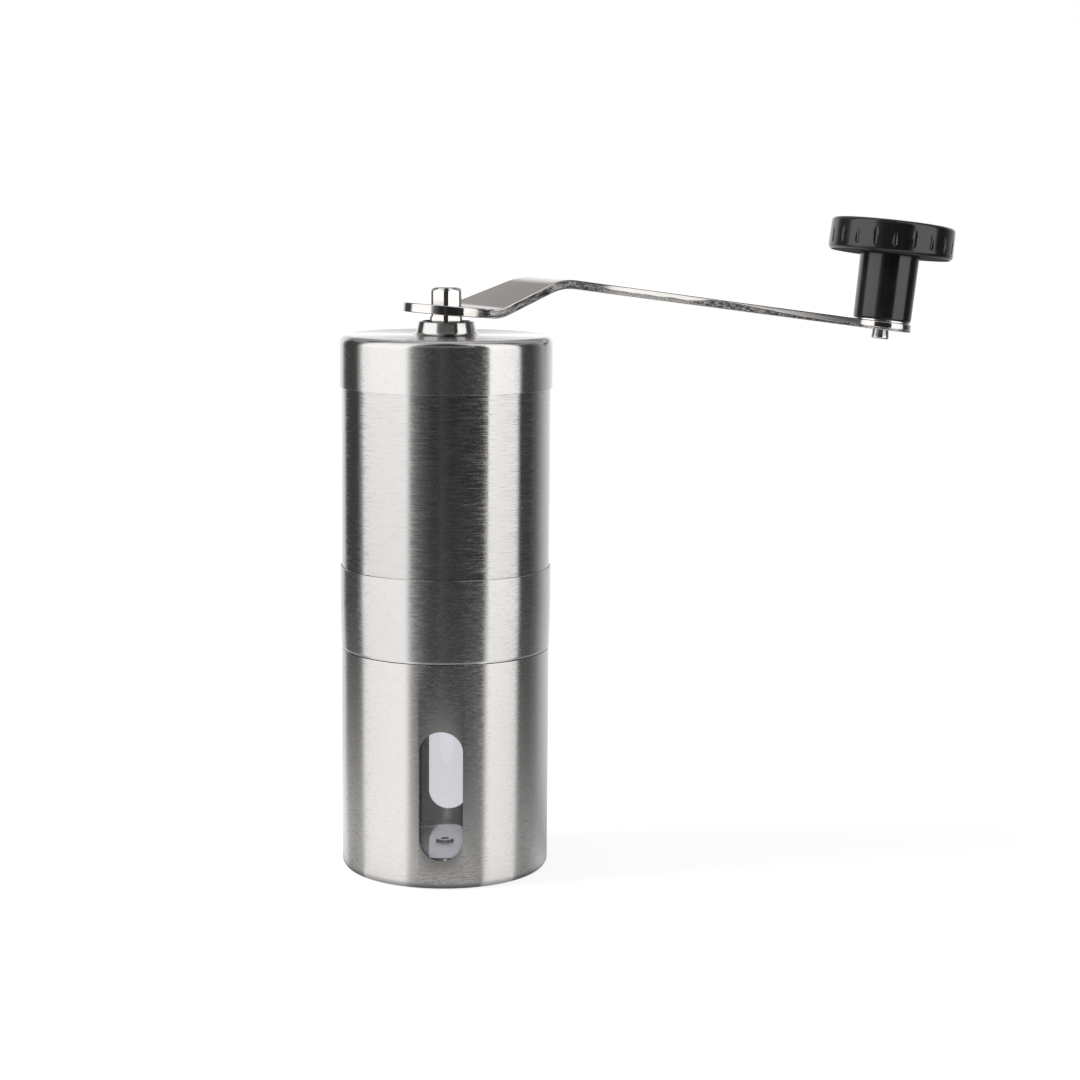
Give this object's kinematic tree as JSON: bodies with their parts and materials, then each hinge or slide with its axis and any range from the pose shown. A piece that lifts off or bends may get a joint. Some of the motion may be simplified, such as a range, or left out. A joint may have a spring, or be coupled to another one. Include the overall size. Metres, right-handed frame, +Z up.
{
  "type": "manual coffee grinder",
  "caption": "Pocket coffee grinder: a cylindrical steel mill with a windowed grounds cup, inner burrs, a lift-off lid and a bent crank with a fluted knob.",
  "frame": {"origin": "centre of the cup's flat base", "axes": "+Z up along the mill's axis; the cup's windows face -Y and +Y; the crank points to +X and +Y, 37.6 degrees from +X"},
  "size_m": [0.1514, 0.1253, 0.1476],
  "materials": {
    "brushed_steel": "polished and finely brushed stainless steel",
    "clear_plastic": "clear moulded plastic",
    "black_plastic": "satin black moulded plastic",
    "white_plastic": "natural bearing plastic",
    "gloss_black": "glossy black moulded plastic",
    "bearing_bronze": "sintered bearing bronze",
    "brass": "turned brass",
    "ceramic": "fine ceramic, opaque"
  },
  "bodies": {
    "cup": {"cup_shell": "brushed_steel", "cup_liner": "clear_plastic"},
    "mill": {"hopper_tube": "brushed_steel", "middle_band": "brushed_steel", "burr_housing": "black_plastic", "shaft_bridge": "black_plastic", "shaft_bushing": "bearing_bronze", "outer_burr": "ceramic", "burr_retainer": "black_plastic"},
    "lid": {"lid_shell": "brushed_steel", "lid_liner": "black_plastic", "lid_bushing": "white_plastic"},
    "spindle": {"drive_shaft": "brushed_steel", "shaft_washers": "brushed_steel", "shaft_clip": "brushed_steel", "burr_spring": "brushed_steel"},
    "crank": {"crank_arm": "brushed_steel", "knob_pin": "brushed_steel", "knob_washer": "brushed_steel"},
    "knob": {"knob_grip": "gloss_black", "knob_cap": "gloss_black"},
    "burr": {"inner_burr": "ceramic", "burr_core": "black_plastic"},
    "dial": {"adjust_dial": "black_plastic", "dial_insert": "brass"}
  },
  "joints": [
    {"name": "mill_lift", "type": "slide", "parent": "cup", "child": "mill", "axis": [0, 0, 1], "range_m": [0, 0.02]},
    {"name": "lid_lift", "type": "slide", "parent": "mill", "child": "lid", "axis": [0, 0, 1], "range_m": [0, 0.0241]},
    {"name": "spindle_turn", "type": "hinge", "parent": "mill", "child": "spindle", "pos_m": [0, 0, 0.085], "axis": [0, 0, 1], "continuous": true},
    {"name": "crank_lift", "type": "slide", "parent": "spindle", "child": "crank", "axis": [0, 0, 1], "range_m": [0, 0.03]},
    {"name": "knob_spin", "type": "hinge", "parent": "crank", "child": "knob", "pos_m": [0.10913, 0.08397, 0.12041], "axis": [0.1052, 0.0648, 0.9923], "continuous": true},
    {"name": "burr_lift", "type": "slide", "parent": "spindle", "child": "burr", "axis": [0, 0, 1], "range_m": [-0.0012, 0.0006], "deforming": ["burr_spring"]},
    {"name": "dial_turn", "type": "hinge", "parent": "burr", "child": "dial", "pos_m": [0, 0, 0.0443], "axis": [0, 0, 1], "range_deg": [-541, 271]}
  ],
  "couplings": [
    {"joint": "lid_lift", "follows": "crank_lift", "ratio": 0.8},
    {"joint": "dial_turn", "follows": "burr_lift", "rad_per_m": 7854}
  ]
}
